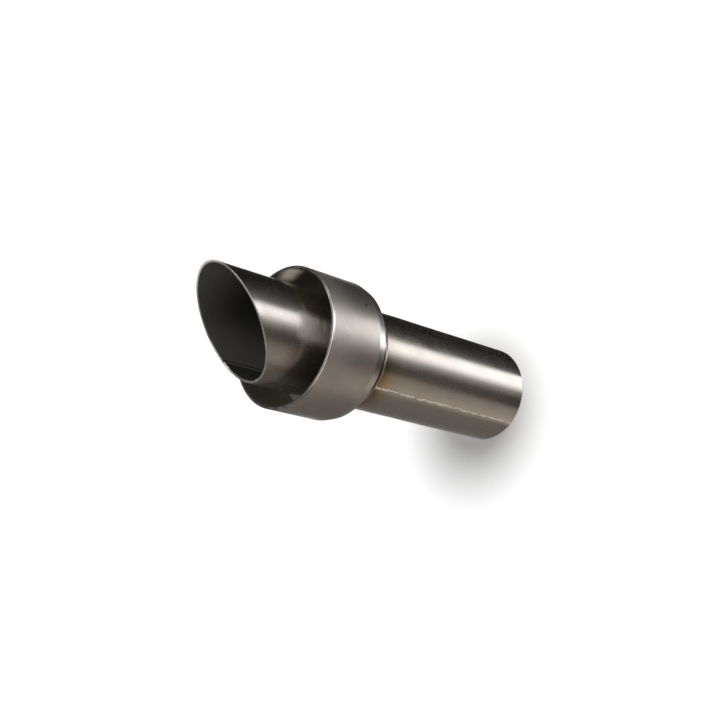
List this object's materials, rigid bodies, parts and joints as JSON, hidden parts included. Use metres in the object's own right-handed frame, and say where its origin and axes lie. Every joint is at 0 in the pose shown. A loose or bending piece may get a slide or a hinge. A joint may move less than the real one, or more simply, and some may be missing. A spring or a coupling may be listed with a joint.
{
  "type": "exhaust baffle insert",
  "caption": "Welded steel tube with a round cup collar near its slant-cut mouth, pushed into a silencer's outlet to narrow the gas path and quieten it.",
  "frame": {"origin": "centre of the square-cut end of the core tube, on which the insert stands", "axes": "+Z along the tubes towards the slant-cut mouth, +X towards the long side of the mouth"},
  "size_m": [0.0624, 0.0624, 0.1779],
  "materials": {
    "core_steel": "drawn stainless tube with heat tint by the weld",
    "outlet_steel": "drawn stainless tube, lightly brushed round",
    "collar_steel": "satin, blasted",
    "weld_metal": "as welded, straw and brown tint"
  },
  "bodies": {
    "root": {"core_tube": "core_steel", "outlet_tube": "outlet_steel", "collar": "collar_steel", "weld_bead_rear": "weld_metal", "weld_bead_front": "weld_metal"}
  },
  "joints": []
}
